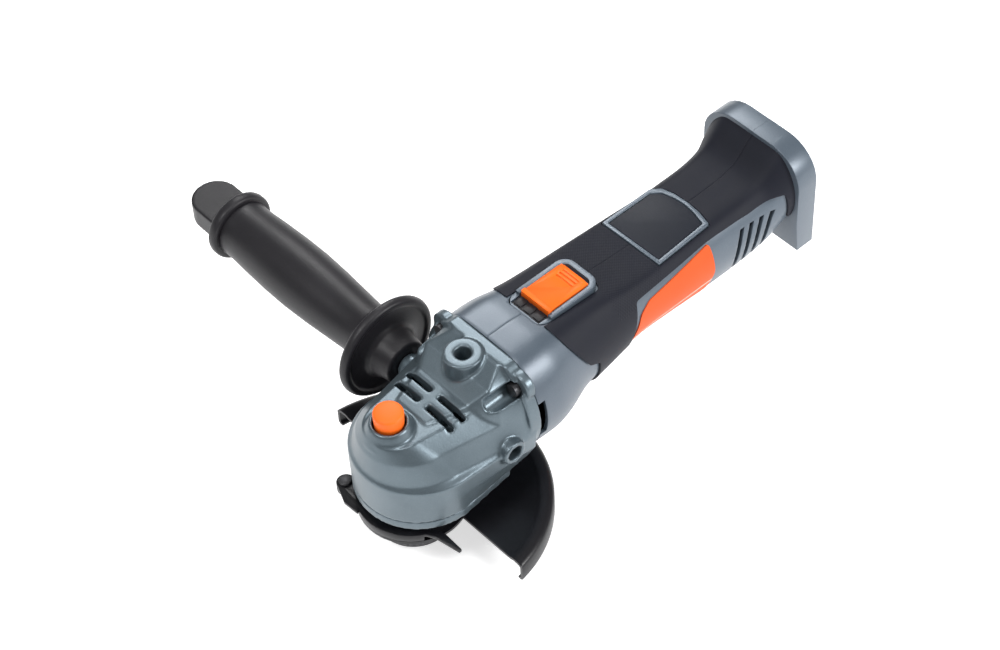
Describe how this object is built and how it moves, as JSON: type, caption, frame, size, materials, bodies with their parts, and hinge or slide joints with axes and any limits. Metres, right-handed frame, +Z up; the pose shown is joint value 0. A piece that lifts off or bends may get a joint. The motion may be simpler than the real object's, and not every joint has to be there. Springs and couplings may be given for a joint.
{
  "type": "angle grinder",
  "caption": "Cordless angle grinder: bevel gear head, slide switch, quick-release disc guard and screw-in side handle, without battery or disc.",
  "frame": {"origin": "on the spindle axis, in the face of the inner flange that the disc seats on", "axes": "+Z up along the spindle to the lock button, +X back along the body to the battery end, +Y to the side that carries the handle"},
  "size_m": [0.2715, 0.2664, 0.1075],
  "materials": {
    "case_alloy": "satin cast alloy with a blue-grey lacquer",
    "shell_grey": "fine satin moulded plastic",
    "soft_grip": "matt soft-touch rubber",
    "handle_plastic": "satin moulded plastic",
    "orange_plastic": "semi-gloss moulded plastic",
    "panel_coral": "printed satin panel",
    "pad_slate": "satin inlay",
    "guard_black": "satin black paint on sheet steel",
    "steel": "ground and turned steel",
    "dark_steel": "blackened steel",
    "bronze": "sintered bronze",
    "copper": "enamelled copper",
    "magnet": "sintered magnet",
    "brush_carbon": "carbon",
    "black_plastic": "moulded plastic",
    "board": "potted circuit board"
  },
  "bodies": {
    "body": {"battery_rails": "steel", "bearing_cover": "case_alloy", "bearing_retainer": "steel", "brush_springs": "steel", "brushes": "brush_carbon", "case_screws": "dark_steel", "control_board": "board", "cover_screws": "dark_steel", "end_bell": "black_plastic", "fan_baffle": "black_plastic", "gear_case": "case_alloy", "grip_skin_left": "soft_grip", "grip_skin_right": "soft_grip", "lock_spring": "steel", "magnets": "magnet", "motor_bearing_outer_rings": "steel", "motor_can": "steel", "pad_frame": "shell_grey", "pad_plate": "pad_slate", "shell_left": "shell_grey", "shell_right": "shell_grey", "shell_screws": "dark_steel", "side_panel_left": "panel_coral", "side_panel_right": "panel_coral", "spindle_bearing_outer": "steel", "switch_bezel": "shell_grey", "switch_module": "black_plastic", "terminal_blades": "copper", "terminal_block": "black_plastic", "upper_bush": "bronze"},
    "spindle": {"spindle": "steel", "spindle_key": "steel", "gear_circlip": "dark_steel", "spindle_bearing_inner": "steel", "spindle_bearing_balls": "steel", "inner_flange": "dark_steel", "driven_gear": "steel"},
    "clamp_nut": {"clamp_nut": "dark_steel"},
    "rotor": {"motor_shaft": "steel", "pinion": "steel", "motor_bearing_inner_rings": "steel", "motor_bearing_balls": "steel", "fan": "black_plastic", "armature": "steel", "windings": "copper", "commutator": "copper"},
    "lock": {"lock_button": "orange_plastic", "lock_pin": "steel"},
    "slider": {"switch_knob": "orange_plastic", "switch_link": "steel", "switch_plunger": "black_plastic"},
    "guard": {"guard_shell": "guard_black", "guard_collar": "dark_steel", "lever_pin": "dark_steel"},
    "guard_lever": {"guard_lever": "guard_black"},
    "side_handle": {"handle_stud": "steel", "handle_grip": "handle_plastic", "handle_ring": "handle_plastic", "handle_tab": "handle_plastic"}
  },
  "joints": [
    {"name": "spindle_spin", "type": "hinge", "parent": "body", "child": "spindle", "pos_m": [0, 0, 0], "axis": [0, 0, 1], "continuous": true},
    {"name": "motor_spin", "type": "hinge", "parent": "body", "child": "rotor", "pos_m": [0, 0, 0.051], "axis": [1, 0, 0], "continuous": true},
    {"name": "lock_press", "type": "slide", "parent": "body", "child": "lock", "axis": [0, 0, -1], "range_m": [0, 0.0045], "stiffness_N_per_m": 900, "springref_m": -0.003, "deforming": ["lock_spring"]},
    {"name": "power_slide", "type": "slide", "parent": "body", "child": "slider", "axis": [-1, 0, 0], "range_m": [0, 0.006]},
    {"name": "guard_turn", "type": "hinge", "parent": "body", "child": "guard", "pos_m": [0, 0, 0.0088], "axis": [0, 0, 1], "range_deg": [-90, 90]},
    {"name": "guard_lever_open", "type": "hinge", "parent": "guard", "child": "guard_lever", "pos_m": [-0.02, 0.026, 0.009], "axis": [0, 0, -1], "range_deg": [0, 60]},
    {"name": "handle_out", "type": "slide", "parent": "body", "child": "side_handle", "axis": [0, 1, 0], "range_m": [0, 0.016]},
    {"name": "nut_off", "type": "slide", "parent": "spindle", "child": "clamp_nut", "axis": [0, 0, -1], "range_m": [0, 0.014]}
  ],
  "couplings": [
    {"joint": "motor_spin", "follows": "spindle_spin", "ratio": 3}
  ]
}
